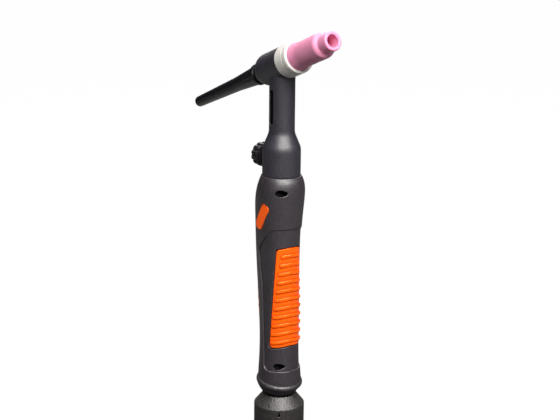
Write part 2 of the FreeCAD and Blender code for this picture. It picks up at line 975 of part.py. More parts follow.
def back_cap():
    """Long back cap that clamps the collet."""
    groove_low = cap_ring_place - cap_groove_width / 2
    groove_high = cap_ring_place + cap_groove_width / 2
    collar_end = cap_collar_start + cap_collar_length
    front = collet_rear + stop_gap
    thread = core_bore_radius - running_gap
    cap = turned([
        (cap_bore_radius, -front),
        (thread, -front, 0.5),
        (thread, -core_rear - stop_gap),
        (cap_neck_radius, -core_rear - stop_gap),
        (cap_neck_radius, -groove_low),
        (cap_groove_radius, -groove_low),
        (cap_groove_radius, -groove_high),
        (cap_neck_radius, -groove_high),
        (cap_neck_radius, -cap_collar_start),
        (cap_collar_radius, -cap_collar_start, 0.6),
        (cap_collar_radius, -collar_end, 0.8),
        (cap_root_radius, -collar_end - 0.8, 0.5),
        (cap_flare_end_radius, -cap_flare_end, 60.0),
        (cap_end_radius, -cap_end, cap_end_rounding),
        (0, -cap_end),
        (0, cap_bore_wall - cap_end),
        (cap_bore_radius, cap_bore_wall - cap_end),
    ])
    return on_head(cap.cut(cap_flutes()))


def back_cap_o_ring():
    """Seal in the groove of the back cap."""
    middle_radius = cap_groove_radius + running_gap + cap_ring_thickness / 2
    return on_head(ring(middle_radius, cap_ring_thickness, -cap_ring_place))


def swivel_liner():
    """Thin spherical liner of the socket."""
    outer = socket_radius - running_gap
    shell = ball(outer).cut(ball(outer - liner_thickness))
    return shell.common(slab(-liner_drop, liner_rise)).translated(V(0, 0, ball_height))


def swivel_ball():
    """Hollow ball with the neck that carries the housing."""
    radius = socket_radius - liner_thickness - 2 * running_gap
    zone = ball(radius).common(slab(-far / 2, ball_rise))
    neck = rod(ball_neck_radius, -ball_neck_depth, 0)
    bore = rod(ball_bore_radius, -far / 2, far / 2)
    return joined(zone, neck).cut(bore).translated(V(0, 0, ball_height))


def swivel_nut():
    """Nut on the ball's neck that holds the housing."""
    top = -hub_depth - stop_gap
    nut = nut_prism(2 * nut_radius, top - nut_thickness, top, nut_flats)
    return nut.cut(rod(ball_neck_radius, -far / 2, 0)).translated(V(0, 0, ball_height))


def index_mark():
    """Small engraved arrowhead below the housing's cone."""
    tip = housing_length - mark_drop
    corners = [
        (0, tip),
        (mark_width / 2, tip - mark_height),
        (-mark_width / 2, tip - mark_height),
    ]
    floor = rod(housing_radius - mark_depth, 0, housing_length)
    return outward_prism(corners, mark_bearing).cut(floor)


def joint_housing():
    """Housing with a cone on top that rides on the handle's ball end."""
    cone_top = housing_length + cone_height
    inner_radius = housing_radius - housing_wall
    form = turned([
        (0, 0),
        (housing_radius, 0, 0.8),
        (housing_radius, housing_length, 1.0),
        (cone_top_radius, cone_top),
        (0, cone_top),
    ])
    return form.cut([
        ball(cup_radius, ball_height),
        rod(ball_neck_radius + running_gap, 0, cone_top),
        rod(inner_radius, -1, ball_height - hub_depth),
        index_mark(),
    ])


def cable_collar():
    """Collar in the foot of the housing that the cable comes out of."""
    outer = housing_radius - housing_wall
    return turned([
        (cable_bore_radius, 0),
        (outer, 0),
        (outer, collar_length),
        (cable_bore_radius, collar_length, collar_lead_in),
    ])


def save(name, shape):
    """Writes one piece."""
    shape.exportStep("parts/" + name + ".step")


os.makedirs("parts", exist_ok=True)

front_half = front_pad()
rear_half = rear_pad()

pieces = {
    "neck_cover": neck_cover(),
    "head_core": head_core(),
    "neck_tube": neck_tube(),
    "valve_body": valve_body(),
    "valve_bushing": valve_bushing(),
    "valve_stem": valve_stem(),
    "valve_stem_o_ring": valve_stem_o_ring(),
    "valve_knob": valve_knob(),
    "knob_screw": knob_screw(),
    "tail_union": tail_union(),
    "collet_body": collet_body(),
    "collet": collet(),
    "cup_gasket": cup_gasket(),
    "nozzle": nozzle(),
    "back_cap": back_cap(),
    "back_cap_o_ring": back_cap_o_ring(),
    "handle_shell_right": handle_shell_right(),
    "handle_shell_left": handle_shell_left(),
    "front_grip_right": front_half,
    "front_grip_left": mirrored(front_half),
    "rear_grip_right": rear_half,
    "rear_grip_left": mirrored(rear_half),
    "badge": badge(),
    "shell_screws": shell_screws(),
    "shell_inserts": shell_inserts(),
    "swivel_liner": swivel_liner(),
    "swivel_ball": swivel_ball(),
    "swivel_nut": swivel_nut(),
    "joint_housing": joint_housing(),
    "cable_collar": cable_collar(),
}

for name, shape in pieces.items():
    save(name, shape)
    print(name, len(shape.Solids), round(shape.Volume, 1), shape.isValid())
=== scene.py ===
"""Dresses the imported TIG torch: a finish for each of its pieces, and the floor, lights and camera."""

import math

import bpy
from bpy.props import FloatProperty, FloatVectorProperty, PointerProperty
from mathutils import Matrix, Vector


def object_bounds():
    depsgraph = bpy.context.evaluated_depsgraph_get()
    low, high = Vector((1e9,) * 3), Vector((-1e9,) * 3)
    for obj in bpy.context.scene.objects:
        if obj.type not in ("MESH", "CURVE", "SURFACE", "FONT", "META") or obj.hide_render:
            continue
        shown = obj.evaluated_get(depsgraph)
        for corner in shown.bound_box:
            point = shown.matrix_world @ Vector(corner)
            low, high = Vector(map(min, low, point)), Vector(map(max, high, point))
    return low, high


bl_info = {
    "name": "TIG torch dressing",
    "version": (1, 0, 0),
    "blender": (4, 5, 0),
    "location": "3D View > Sidebar > Torch",
    "description": "Finishes, floor, lights and camera for a TIG torch",
    "category": "Object",
}

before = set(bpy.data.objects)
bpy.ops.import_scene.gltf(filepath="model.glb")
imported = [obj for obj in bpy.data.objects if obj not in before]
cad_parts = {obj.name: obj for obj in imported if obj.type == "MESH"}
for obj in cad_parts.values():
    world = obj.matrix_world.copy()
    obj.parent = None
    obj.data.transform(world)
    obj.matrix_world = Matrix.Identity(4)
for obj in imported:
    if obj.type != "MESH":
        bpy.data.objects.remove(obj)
CAD_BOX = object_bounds()

# Lengths are in metres, in the torch's own frame.
MILLIMETRE = 0.001
FORWARD = (1, 0, 0)
LEFT = (0, 1, 0)
UP = (0, 0, 1)
HEAD_AXIS = (0.9310558, 0, 0.3648768)
SHELL_TOP = Vector((0, 0, 0.19775))

# The right shell's screw pits, where shade is painted: how far forward and how high each lies, and its
# radius.
SCREW_PITS = ((0.0127, 0.18855, 0.00233), (0.0101, 0.06795, 0.00223))

# Where shade is painted in the neck's slots: half its width, how far out it reaches, and its heights.
SLOT_HALF_WIDTH = 0.00203
SLOT_REACH = 0.0079
SLOT_HEIGHTS = (0.2317, 0.2548)

# The housing's index mark: its turn from the front, half its width, how far out it lies, its heights.
MARK_TURN = math.radians(34.0)
MARK_HALF_WIDTH = 0.0011
MARK_DEPTHS = (0.0148, 0.0169)
MARK_HEIGHTS = (0.0333, 0.038)

# Painted shade, near black and without gloss, inside the screw pits and neck slots; the index mark is
# darkened the same way.
PAINTED_SHADE_COLOUR = (0.002, 0.002, 0.002)
PAINTED_SHADE_STRENGTH = 0.92
PAINTED_SHADE_DULLNESS = 0.4

# Depths of the moulded grain, and the size of the joint's grain against that of the rest.
COVER_GRAIN_DEPTH = 0.1 * MILLIMETRE
SHELL_GRAIN_DEPTH = 0.13 * MILLIMETRE
JOINT_GRAIN_DEPTH = 0.4 * MILLIMETRE
JOINT_GRAIN_SIZE = 1.5

# Half widths of the partings between the shells and between the grips.
SHELL_SEAM = 0.7 * MILLIMETRE
GRIP_SEAM = 0.12 * MILLIMETRE

# The grips' highlight tint, the painted shade in the valleys between ribs, the painted glow in those
# valleys, and the parting.
GRIP_SHEEN = (1.0, 0.62, 0.22)
GRIP_VALLEY_SHADE = (0.7, 0.012, 0)
GRIP_PAINTED_GLOW = (0.2, 0, 0)
GRIP_PARTING = (0.3, 0.02, 0)

# How far the white mouldings' red, green and blue fade as they yellow.
YELLOWING = (0.97, 0.93, 0.86)

# Roughness of the finishes that have no setting of their own.
BADGE_ROUGHNESS = 0.36
GASKET_ROUGHNESS = 0.42
LINER_ROUGHNESS = 0.35
STEEL_ROUGHNESS = 0.34
SEAL_ROUGHNESS = 0.5

# Each turned finish: its name, metal, roughness and lathe axis, and the nodes that have it.
TURNED_METAL = (
    ("head_brass", "brass", 0.3, HEAD_AXIS, ("head_core",)),
    ("valve_brass", "brass", 0.28, FORWARD, ("valve_body", "valve_bushing")),
    ("handle_brass", "brass", 0.3, UP, ("tail_union", "shell_inserts")),
    ("head_copper", "copper", 0.27, HEAD_AXIS, ("collet_body", "collet")),
    ("neck_copper", "copper", 0.34, UP, ("neck_tube",)),
)

# A noise's middle, the samples for edges and creases, a fine edge's radius, and the smears' stretch.
MIDDLE = 0.5
SAMPLES = 6
FINE_EDGE = 0.15 * MILLIMETRE
SMEAR_STRETCH = (1, 1, 0.4)

# Each soft light: its name, its place from its aim (towards the camera, right and up), and its size.
SOFT_LIGHTS = (
    ("key", (0.76, 0.26, 0.82), (1.2, 0.45)),
    ("fill", (1.1, 1.1, 0.3), (1.4, 1.4)),
    ("back", (-1.0, 0.0, 0.85), (1.0, 0.6)),
    ("top", (-0.3, -0.55, 1.15), (0.7, 0.5)),
)
LIGHT_AIM = Vector((0, 0, 0.2))
CARD_PLACE = Vector((-0.28, 0.03, 0.01))
CARD_SIZE = (0.25, 0.25)
WARM_WHITE = (1.0, 0.972, 0.945)
WHITE = (1, 1, 1, 1)

# The Mix node's sockets for colours: its share, its two colours and its result.
MIX_SHARE = 0
MIX_FIRST = 6
MIX_SECOND = 7
MIX_RESULT = 2

# Shade of the room's walls, from the horizon at 0 to straight up at 1.
WALL_STOPS = ((0.0, 0.06), (0.06, 1.0), (0.45, 1.0), (0.7, 0.15))

# The floor: its gap under the torch, the size of its clouding, its colour to the camera, its corners.
FLOOR_GAP = 0.3 * MILLIMETRE
FLOOR_CLOUD = 0.25
FLOOR_SEEN = (0.95, 0.95, 0.95, 1)
FLOOR_SIDES = ((-1, -1), (1, -1), (1, 1), (-1, 1))

# The camera: its sensor's width in millimetres, and how near and far it sees.
SENSOR_WIDTH = 36
CLIP_NEAR = 0.05
CLIP_FAR = 50


def colour_setting(name, description, default):
    return FloatVectorProperty(
        name=name, description=description, default=default, subtype="COLOR", size=3, min=0, max=1
    )


def share_setting(name, description, default):
    return FloatProperty(
        name=name, description=description, default=default, subtype="FACTOR", min=0, max=1
    )


def length_setting(name, description, default):
    return FloatProperty(
        name=name, description=description, default=default, unit="LENGTH", min=0, precision=5
    )


def angle_setting(name, description, default):
    return FloatProperty(
        name=name, description=description, default=math.radians(default), subtype="ANGLE"
    )


def power_setting(name, description, default):
    return FloatProperty(name=name, description=description, default=default, unit="POWER", min=0)


class TorchFinishSettings(bpy.types.PropertyGroup):
    """Colours, gloss and grain of the torch's own finishes."""

    cover_colour: colour_setting(
        "Neck cover", "Colour of the moulded rubber over the neck and head", (0.0105, 0.009, 0.0175)
    )
    cover_roughness: share_setting("Neck cover roughness", "Roughness of the neck cover", 0.5)
    shell_colour: colour_setting(
        "Handle shells", "Colour of the two handle shells", (0.017, 0.0127, 0.0182)
    )
    shell_roughness: share_setting("Handle roughness", "Roughness of the handle shells", 0.49)
    joint_colour: colour_setting(
        "Ball joint", "Colour of the ball, the housing and the cable collar", (0.014, 0.0115, 0.0115)
    )
    joint_roughness: share_setting("Ball joint roughness", "Roughness of the joint's plastic", 0.51)
    cap_colour: colour_setting("Back cap", "Colour of the back cap", (0.003, 0.003, 0.0055))
    cap_roughness: share_setting("Back cap roughness", "Roughness of the back cap", 0.3)
    knob_colour: colour_setting("Valve knob", "Colour of the gas valve's knob", (0.011, 0.01, 0.014))
    knob_roughness: share_setting("Valve knob roughness", "Roughness of the knob", 0.42)
    grip_colour: colour_setting("Grip pads", "Colour of the ribbed grip pads", (1.0, 0.106, 0.0))
    grip_roughness: share_setting("Grip roughness", "Roughness of the grip pads", 0.26)
    nozzle_colour: colour_setting("Nozzle", "Colour of the fired ceramic", (0.78, 0.29, 0.46))
    nozzle_roughness: share_setting("Nozzle roughness", "Roughness of the ceramic", 0.5)
    gasket_colour: colour_setting("Gasket", "Colour of the white gasket", (0.77, 0.76, 0.73))
    seal_colour: colour_setting("Seals", "Colour of the O-rings", (0.008, 0.008, 0.008))
    brass_colour: colour_setting("Brass", "Colour of the turned brass", (0.72, 0.5, 0.2))
    copper_colour: colour_setting("Copper", "Colour of the turned copper", (0.8, 0.42, 0.27))
    steel_colour: colour_setting("Steel", "Colour of the blackened screws", (0.03, 0.03, 0.032))
    liner_colour: colour_setting("Liner", "Colour of the joint's slippery liner", (0.72, 0.72, 0.7))
    moulding_grain: length_setting(
        "Moulding grain", "Size of the fine grain on the moulded pieces", 0.8 * MILLIMETRE
    )
    edge_rounding: length_setting(
        "Edge rounding", "Radius to which the moulded edges are eased", 0.5 * MILLIMETRE
    )


class TorchStageSettings(bpy.types.PropertyGroup):
    """Floor, lights and camera."""

    focal_length: FloatProperty(
        name="Focal length",
        description="Focal length of the camera's lens, in millimetres",
        default=90.84,
        unit="CAMERA",
    )
    camera_turn: angle_setting("Camera turn", "How far the camera stands round from the front", 34.0)
    camera_pitch: angle_setting("Camera pitch", "How far the camera looks down", 14.76)
    camera_roll: angle_setting("Camera roll", "How far the camera leans", 0.58)
    camera_distance: length_setting(
        "Camera distance", "Distance to the handle's top, along the view", 0.9295
    )
    camera_side: length_setting(
        "Aim to the side", "How far right of the view's centre the top lies", 0.000908
    )
    camera_rise: length_setting(
        "Aim above", "How far above the view's centre the top lies", 0.02322
    )
    floor_colour: colour_setting("Floor", "Colour of the floor round the torch", (0.14, 0.14, 0.14))
    floor_size: length_setting("Floor size", "Side of the square floor", 6.0)
    mat_colour: colour_setting("Mat", "Colour of the mat round the torch's foot", (0.02, 0.02, 0.02))
    mat_radius: length_setting("Mat radius", "Radius of that mat", 0.2)
    floor_whiteness: share_setting(
        "Background white", "How much of the white backdrop the camera sees in the floor", 0.99
    )
    gloss_whiteness: share_setting(
        "White in the gloss", "How much of the white backdrop shows in glossy reflections", 0.02
    )
    room_light: FloatProperty(
        name="Room light",
        description="Strength of the light from the walls all round",
        default=0.05,
        min=0,
    )
    key_power: power_setting("Key light", "Power of the soft light over the camera", 31.0)
    fill_power: power_setting("Fill light", "Power of the soft light right of the camera", 1.5)
    top_power: power_setting("Top light", "Power of the soft light over the head", 4.0)
    card_power: power_setting("Low card", "Power of the white card under the back cap", 0.04)
    back_power: power_setting("Back light", "Power of the soft light over the back", 14.0)


class Value:
    """An output socket that can be used in Python sums."""

    def __init__(self, shading, socket):
        self.shading = shading
        self.socket = socket

    def sum(self, operation, first, second):
        return self.shading.node("ShaderNodeMath", {"operation": operation}, {0: first, 1: second})

    def __add__(self, other):
        return self.sum("ADD", self, other)

    def __sub__(self, other):
        return self.sum("SUBTRACT", self, other)

    def __rsub__(self, other):
        return self.sum("SUBTRACT", other, self)

    def __mul__(self, other):
        return self.sum("MULTIPLY", self, other)

    __radd__ = __add__
    __rmul__ = __mul__


class Shading:
    """The nodes of a material or of the world, put together from expressions."""

    def __init__(self, owner, output):
        owner.use_nodes = True
        self.owner = owner
        self.tree = owner.node_tree
        self.tree.nodes.clear()
        self.output = self.tree.nodes.new(output)

    def node(self, kind, settings, sockets, output=0):
        """Adds one node: its settings first, then its sockets' values or links; gives one output."""
        made = self.tree.nodes.new(kind)
        for name, setting in settings.items():
            if name == "stops":
                self.set_stops(made.color_ramp, setting)
            else:
                setattr(made, name, setting)
        for name, given in sockets.items():
            if isinstance(given, Value):
                self.tree.links.new(given.socket, made.inputs[name])
            else:
                made.inputs[name].default_value = given
        return Value(self, made.outputs[output])

    def set_stops(self, ramp, stops):
        while len(ramp.elements) < len(stops):
            ramp.elements.new(MIDDLE)
        for element, (place, shade) in zip(ramp.elements, stops):
            element.position = place
            element.color = (shade, shade, shade, 1)

    def ramp(self, value, *stops):
        """A grey for each value, between stops that each have a value and a shade."""
        return self.node("ShaderNodeValToRGB", {"stops": stops}, {"Fac": value}, "Color")

    def backdrop(self, gloss_whiteness):
        """1 for the rays that see the white backdrop, a share for glossy ones, and 0 for the rest."""
        camera, clear, glossy = (
            self.node("ShaderNodeLightPath", {}, {}, f"Is {kind} Ray")
            for kind in ("Camera", "Transmission", "Glossy")
        )
        return camera + clear + glossy * gloss_whiteness

    def show(self, shader):
        """Puts a shader on the output, and gives the material or world."""
        self.tree.links.new(shader.socket, self.output.inputs["Surface"])
        return self.owner

    def show_mixed(self, share, first, second):
        """Puts a mix of two shaders on the output, with the second where share is 1."""
        return self.show(self.node("ShaderNodeMixShader", {}, {0: share, 1: first, 2: second}))


class Finish(Shading):
    """A material whose pattern stays in place on its piece."""

    def __init__(self, name):
        super().__init__(bpy.data.materials.new(name), "ShaderNodeOutputMaterial")
        self.position = self.node("ShaderNodeTexCoord", {}, {}, "Object")

    def vector(self, operation, *values, output="Vector"):
        """A Vector Math node on one or two values."""
        sockets = dict(enumerate(values))
        return self.node("ShaderNodeVectorMath", {"operation": operation}, sockets, output)

    def noise(self, size, detail, place=None):
        """Noise from 0 to 1, with features of a size in metres."""
        sockets = {"Vector": place or self.position, "Scale": 1 / size, "Detail": detail}
        return self.node("ShaderNodeTexNoise", {}, sockets, "Fac")

    def rise(self, value, low, high):
        """0 where a value is under low, 1 where it is over high, and a slope between them."""
        return self.ramp(value, (low, 0), (high, 1))

    def patches(self, size, detail, low, high):
        """Soft patches of noise, from 0 to 1."""
        return self.rise(self.noise(size, detail), low, high)

    def measure(self, direction):
        """How far each point lies along a direction, in metres."""
        return self.vector("DOT_PRODUCT", self.position, direction, output="Value")

    def around(self, point, direction):
        """How far each point lies from a line, in metres."""
        offset = self.vector("SUBTRACT", self.position, point)
        return self.vector("LENGTH", self.vector("CROSS_PRODUCT", offset, direction), output="Value")

    def below(self, value, limit):
        """1 where a value is below a limit, and 0 elsewhere."""
        return self.node("ShaderNodeMath", {"operation": "LESS_THAN"}, {0: value, 1: limit})

    def between(self, value, low, high):
        """1 where a value lies between two others, and 0 elsewhere."""
        above = self.node("ShaderNodeMath", {"operation": "GREATER_THAN"}, {0: value, 1: low})
        return above * self.below(value, high)

    def blend(self, share, first, second):
        """A colour between two others, the second where share is 1."""
        sockets = {MIX_SHARE: share, MIX_FIRST: first, MIX_SECOND: second}
        return self.node("ShaderNodeMix", {"data_type": "RGBA"}, sockets, MIX_RESULT)

    def tint(self, colour, share, factor):
        """A colour, darkened or lightened by a factor where share is 1."""
        return self.blend(share, opaque(colour), scaled(colour, factor))

    def eased(self, radius):
        """The surface's normal with its edges eased to a radius."""
        return self.node("ShaderNodeBevel", {"samples": SAMPLES}, {"Radius": radius})

    def edges(self, eased):
        """1 along the eased edges and 0 elsewhere."""
        plain = self.node("ShaderNodeNewGeometry", {}, {}, "Normal")
        agreement = self.vector("DOT_PRODUCT", eased, plain, output="Value")
        return self.rise(1 - agreement, low=0.02, high=0.15)

    def openness(self, reach):
        """1 where nothing of the same piece stands near, down to 0 in its creases."""
        settings = {"samples": SAMPLES, "only_local": True}
        return self.node("ShaderNodeAmbientOcclusion", settings, {"Distance": reach}, "AO")

    def bump(self, height, depth, normal):
        """A normal with a height of 0 to 1 pressed into it, to a depth in metres."""
        sockets = {"Height": height, "Strength": 1.0, "Distance": depth, "Normal": normal}
        return self.node("ShaderNodeBump", {}, sockets)

    def surface(self, **sockets):
        """Finishes with a Principled shader; socket names have _ for a space."""
        named = {name.replace("_", " "): given for name, given in sockets.items()}
        return self.show(self.node("ShaderNodeBsdfPrincipled", {}, named))


def opaque(colour):
    return (*colour, 1)


def scaled(colour, factor, lift=0.0):
    """An opaque colour, multiplied by a factor and lifted towards white."""
    return opaque(min(1, part * factor + lift) for part in colour)


def sway(noise, width):
    """A noise that swings to both sides of 0, over a width."""
    return (noise - MIDDLE) * width


def finish_settings():
    return bpy.context.scene.torch_finishes


def screw_pit_shade(finish):
    """1 inside the right shell's two screw pits, where shade is painted."""
    first, second = (
        finish.below(finish.around((forward, 0, height), LEFT), radius)
        for forward, height, radius in SCREW_PITS
    )
    return (first + second) * finish.below(finish.measure(LEFT), 0)


def neck_slot_shade(finish):
    """1 deep inside the slots in the neck's two sides, where shade is painted."""
    across = finish.measure(LEFT)
    wide = finish.between(finish.measure(FORWARD), -SLOT_HALF_WIDTH, SLOT_HALF_WIDTH)
    deep = finish.between(across, -SLOT_REACH, SLOT_REACH)
    return wide * deep * finish.between(finish.measure(UP), *SLOT_HEIGHTS)


def index_mark(finish):
    """1 inside the index mark in the housing's side."""
    outward = finish.measure((math.cos(MARK_TURN), -math.sin(MARK_TURN), 0))
    across = finish.measure((math.sin(MARK_TURN), math.cos(MARK_TURN), 0))
    wide = finish.between(across, -MARK_HALF_WIDTH, MARK_HALF_WIDTH)
    deep = finish.between(outward, *MARK_DEPTHS)
    return wide * deep * finish.between(finish.measure(UP), *MARK_HEIGHTS)


def moulded(name, colour, roughness, grain, depth, painted_shade=None, seam=None):
    """Moulded plastic or rubber: a fine mottled grain, and painted highlights along its eased edges.

    The mask function gives where shade is painted, and seam the half width left uneased at its parting.
    """
    finish = Finish(name)
    rounding = finish_settings().edge_rounding
    if seam:
        rounding = rounding * (1 - finish.between(finish.measure(LEFT), -seam, seam))
    eased = finish.eased(rounding)
    edge = finish.edges(eased)
    speckle = finish.noise(grain, detail=3)
    fleck = finish.rise(speckle, low=0.35, high=0.65)
    cloud = finish.patches(14 * MILLIMETRE, detail=3, low=0.35, high=0.7)
    smudge = finish.noise(5 * MILLIMETRE, detail=4)
    dim = scaled(colour, factor=0.3)
    bright = scaled(colour, factor=2)
    # Painted highlight: the eased edges are lightened to look lit.
    edge_highlight = scaled(colour, factor=6, lift=0.06)
    base = finish.blend(edge * 0.7, finish.blend(fleck * 0.8 + cloud * 0.2, dim, bright), edge_highlight)
    gloss = roughness + sway(smudge, width=0.09) + sway(speckle, width=0.3) - edge * 0.05
    shade = 0.0
    # Painted shade: inside the mask the colour goes near black and, as black metal, loses its
    # reflections.
    if painted_shade:
        shade = painted_shade(finish) * PAINTED_SHADE_STRENGTH
        base = finish.blend(shade, base, opaque(PAINTED_SHADE_COLOUR))
        gloss = gloss + shade * PAINTED_SHADE_DULLNESS
    return finish.surface(
        Base_Color=base,
        Metallic=shade,
        Roughness=gloss,
        IOR=1.6,
        Specular_IOR_Level=0.87,
        Normal=finish.bump(speckle, depth, eased),
    )


def glossy(name, colour, roughness):
    """Semi-gloss black moulding: smooth, with faint flow marks, soft smears and painted edge highlights.
    """
    finish = Finish(name)
    eased = finish.eased(finish_settings().edge_rounding)
    edge = finish.edges(eased)
    ripple = finish.noise(3 * MILLIMETRE, detail=1)
    stretched = finish.vector("MULTIPLY", finish.position, SMEAR_STRETCH)
    smear = finish.noise(9 * MILLIMETRE, detail=4, place=stretched)
    smeared = finish.tint(colour, finish.rise(smear, low=0.4, high=0.75), factor=1.6)
    # Painted highlight: the eased edges are lightened to look lit.
    edge_highlight = scaled(colour, factor=3, lift=0.006)
    return finish.surface(
        Base_Color=finish.blend(edge * 0.6, smeared, edge_highlight),
        Roughness=roughness + sway(smear, width=0.14),
        IOR=1.5,
        Specular_IOR_Level=0.35,
        Normal=finish.bump(ripple, 0.006 * MILLIMETRE, eased),
    )


def turned(name, colour, roughness, axis):
    """Metal turned in a lathe: fine rings across its axis, faint tarnish and eased edges."""
    finish = Finish(name)
    along = finish.node("ShaderNodeCombineXYZ", {}, {0: finish.measure(axis)})
    rings = finish.noise(0.12 * MILLIMETRE, detail=1, place=along)
    tarnish = finish.patches(4 * MILLIMETRE, detail=4, low=0.4, high=0.7)
    return finish.surface(
        Base_Color=finish.tint(colour, tarnish, factor=0.7),
        Metallic=1.0,
        Roughness=roughness + tarnish * 0.14 + sway(rings, width=0.1),
        Normal=finish.bump(rings, 0.01 * MILLIMETRE, finish.eased(FINE_EDGE)),
    )


def blackened_steel(name, colour, roughness):
    """Blackened screw steel, rubbed a little brighter on its edges."""
    finish = Finish(name)
    eased = finish.eased(FINE_EDGE)
    uneven = finish.noise(1.2 * MILLIMETRE, detail=4)
    return finish.surface(
        Base_Color=finish.tint(colour, finish.edges(eased), factor=3),
        Metallic=1.0,
        Roughness=roughness + sway(uneven, width=0.2),
        Normal=finish.bump(uneven, 0.006 * MILLIMETRE, eased),
    )


def soft_grip(name, colour, roughness):
    """Satin fluorescent orange rubber, with painted edge highlights, painted valley shade and a painted
    glow.
    """
    finish = Finish(name)
    eased = finish.eased(0.25 * MILLIMETRE)
    edge = finish.edges(eased)
    grain = finish.noise(0.28 * MILLIMETRE, detail=2)
    # Painted shade: the creases between the ribs are darkened to a deep red.
    valley_shade = finish.rise(1 - finish.openness(0.9 * MILLIMETRE), low=0.04, high=0.2)
    cloud = finish.patches(6 * MILLIMETRE, detail=3, low=0.35, high=0.7)
    parting = finish.between(finish.measure(LEFT), -GRIP_SEAM, GRIP_SEAM)
    # Painted highlight: the eased edges are paler.
    pale = opaque((1.0, min(1, colour[1] * 1.9), 0.03))
    edge_highlighted = finish.blend(edge * 0.4, finish.tint(colour, cloud, factor=0.93), pale)
    ribbed = finish.blend(valley_shade * 0.9, edge_highlighted, opaque(GRIP_VALLEY_SHADE))
    return finish.surface(
        Base_Color=finish.blend(parting * 0.5, ribbed, opaque(GRIP_PARTING)),
        Roughness=roughness + sway(grain, width=0.1) + valley_shade * 0.35,
        IOR=1.6,
        Specular_IOR_Level=1.0,
        Specular_Tint=opaque(GRIP_SHEEN),
        # Painted glow: the rubber glows faintly in its own orange, and dark red in the valleys.
        Emission_Color=finish.blend(valley_shade, opaque(colour), opaque(GRIP_PAINTED_GLOW)),
        Emission_Strength=0.2,
        Normal=finish.bump(grain, 0.012 * MILLIMETRE, eased),
    )


def fired_ceramic(name, colour, roughness):
    """Fired pink ceramic: faint flecks and clouding, and a slightly uneven surface."""
    finish = Finish(name)
    eased = finish.eased(0.4 * MILLIMETRE)
    uneven = finish.noise(0.45 * MILLIMETRE, detail=3)
    fleck = finish.patches(0.5 * MILLIMETRE, detail=2, low=0.62, high=0.72)
    cloud = finish.noise(5 * MILLIMETRE, detail=3)
    clouded = finish.tint(colour, finish.rise(cloud, low=0.35, high=0.7), factor=1.06)
    dark = scaled(colour, factor=0.72)
    return finish.surface(
        Base_Color=finish.blend(fleck * 0.18, clouded, dark),
        Roughness=roughness + sway(cloud, width=0.1),
        Specular_IOR_Level=0.5,
        Subsurface_Weight=0.3,
        Subsurface_Radius=(1.0, 0.5, 0.6),
        Subsurface_Scale=3 * MILLIMETRE,
        Normal=finish.bump(uneven, 0.02 * MILLIMETRE, eased),
    )


def waxy(name, colour, roughness):
    """Waxy white moulding, with faint yellowing and a fine grain."""
    finish = Finish(name)
    grain = finish.noise(0.4 * MILLIMETRE, detail=3)
    cloud = finish.patches(4 * MILLIMETRE, detail=3, low=0.35, high=0.75)
    yellowed = opaque(part * fade for part, fade in zip(colour, YELLOWING))
    return finish.surface(
        Base_Color=finish.blend(cloud * 0.5, opaque(colour), yellowed),
        Roughness=roughness + sway(grain, width=0.12),
        Subsurface_Weight=0.5,
        Subsurface_Radius=(1.0, 0.95, 0.9),
        Subsurface_Scale=4 * MILLIMETRE,
        Normal=finish.bump(grain, 0.01 * MILLIMETRE, finish.eased(FINE_EDGE)),
    )


def seal_rubber(name, colour, roughness):
    """Smooth black seal rubber with a thin film of grease."""
    finish = Finish(name)
    grease = finish.patches(1.5 * MILLIMETRE, detail=3, low=0.4, high=0.65)
    return finish.surface(
        Base_Color=finish.tint(colour, grease, factor=1.5),
        Roughness=roughness - grease * 0.2,
        Coat_Weight=grease * 0.3,
        Coat_Roughness=0.2,
    )


def dress(material, *nodes):
    """Puts a finish on each material slot of the named CAD nodes."""
    for name in nodes:
        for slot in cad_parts[name].material_slots:
            slot.material = material


class TORCH_OT_dress_neck_cover(bpy.types.Operator):
    """Puts satin black rubber on the cover of the neck and head."""

    bl_idname = "torch.dress_neck_cover"
    bl_label = "Neck cover"

    def execute(self, context):
        sizes = context.scene.torch_finishes
        gloss, grain = sizes.cover_roughness, sizes.moulding_grain
        rubber = moulded("cover_rubber", sizes.cover_colour, gloss, grain, COVER_GRAIN_DEPTH, neck_slot_shade)
        dress(rubber, "neck_cover")
        return {"FINISHED"}


class TORCH_OT_dress_handle_shells(bpy.types.Operator):
    """Puts fine-grained black plastic on the two handle shells."""

    bl_idname = "torch.dress_handle_shells"
    bl_label = "Handle shells"

    def execute(self, context):
        sizes = context.scene.torch_finishes
        look = (sizes.shell_colour, sizes.shell_roughness, sizes.moulding_grain, SHELL_GRAIN_DEPTH)
        dress(moulded("right_shell_plastic", *look, screw_pit_shade, SHELL_SEAM), "handle_shell_right")
        dress(moulded("left_shell_plastic", *look, seam=SHELL_SEAM), "handle_shell_left")
        return {"FINISHED"}


class TORCH_OT_dress_grips(bpy.types.Operator):
    """Puts soft orange rubber on the four grip pads."""

    bl_idname = "torch.dress_grips"
    bl_label = "Grip pads"

    def execute(self, context):
        sizes = context.scene.torch_finishes
        rubber = soft_grip("grip_orange", sizes.grip_colour, sizes.grip_roughness)
        dress(rubber, "front_grip_right", "front_grip_left", "rear_grip_right", "rear_grip_left")
        return {"FINISHED"}


class TORCH_OT_dress_badge(bpy.types.Operator):
    """Puts the grips' orange, a little less glossy, on the bare badge."""

    bl_idname = "torch.dress_badge"
    bl_label = "Badge"

    def execute(self, context):
        sizes = context.scene.torch_finishes
        dress(soft_grip("badge_orange", sizes.grip_colour, BADGE_ROUGHNESS), "badge")
        return {"FINISHED"}


class TORCH_OT_dress_nozzle(bpy.types.Operator):
    """Puts fired pink ceramic on the nozzle."""

    bl_idname = "torch.dress_nozzle"
    bl_label = "Nozzle"

    def execute(self, context):
        sizes = context.scene.torch_finishes
        dress(fired_ceramic("ceramic_pink", sizes.nozzle_colour, sizes.nozzle_roughness), "nozzle")
        return {"FINISHED"}


